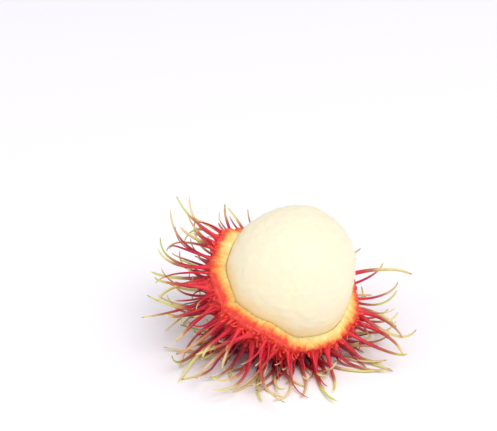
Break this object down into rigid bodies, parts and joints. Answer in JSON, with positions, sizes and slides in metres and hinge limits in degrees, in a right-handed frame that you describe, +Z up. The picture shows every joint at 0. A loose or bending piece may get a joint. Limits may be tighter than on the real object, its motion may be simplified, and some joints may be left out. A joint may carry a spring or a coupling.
{
  "type": "half-peeled rambutan",
  "caption": "Half-peeled rambutan: an egg-shaped pale flesh stands in the torn cup that is left of its spiny red rind.",
  "frame": {"origin": "the middle of the small flat spot under the rind, which the fruit rests on", "axes": "+Z up; the fruit's axis leans 36 degrees from +Z, so the open mouth faces up, towards -Y and a little towards +X"},
  "size_m": [0.0719, 0.0689, 0.0403],
  "materials": {
    "rind_skin": "satin, fibrous where it is torn",
    "flesh_pulp": "moist satin, slightly translucent"
  },
  "bodies": {
    "root": {"rind": "rind_skin", "flesh": "flesh_pulp"}
  },
  "joints": []
}
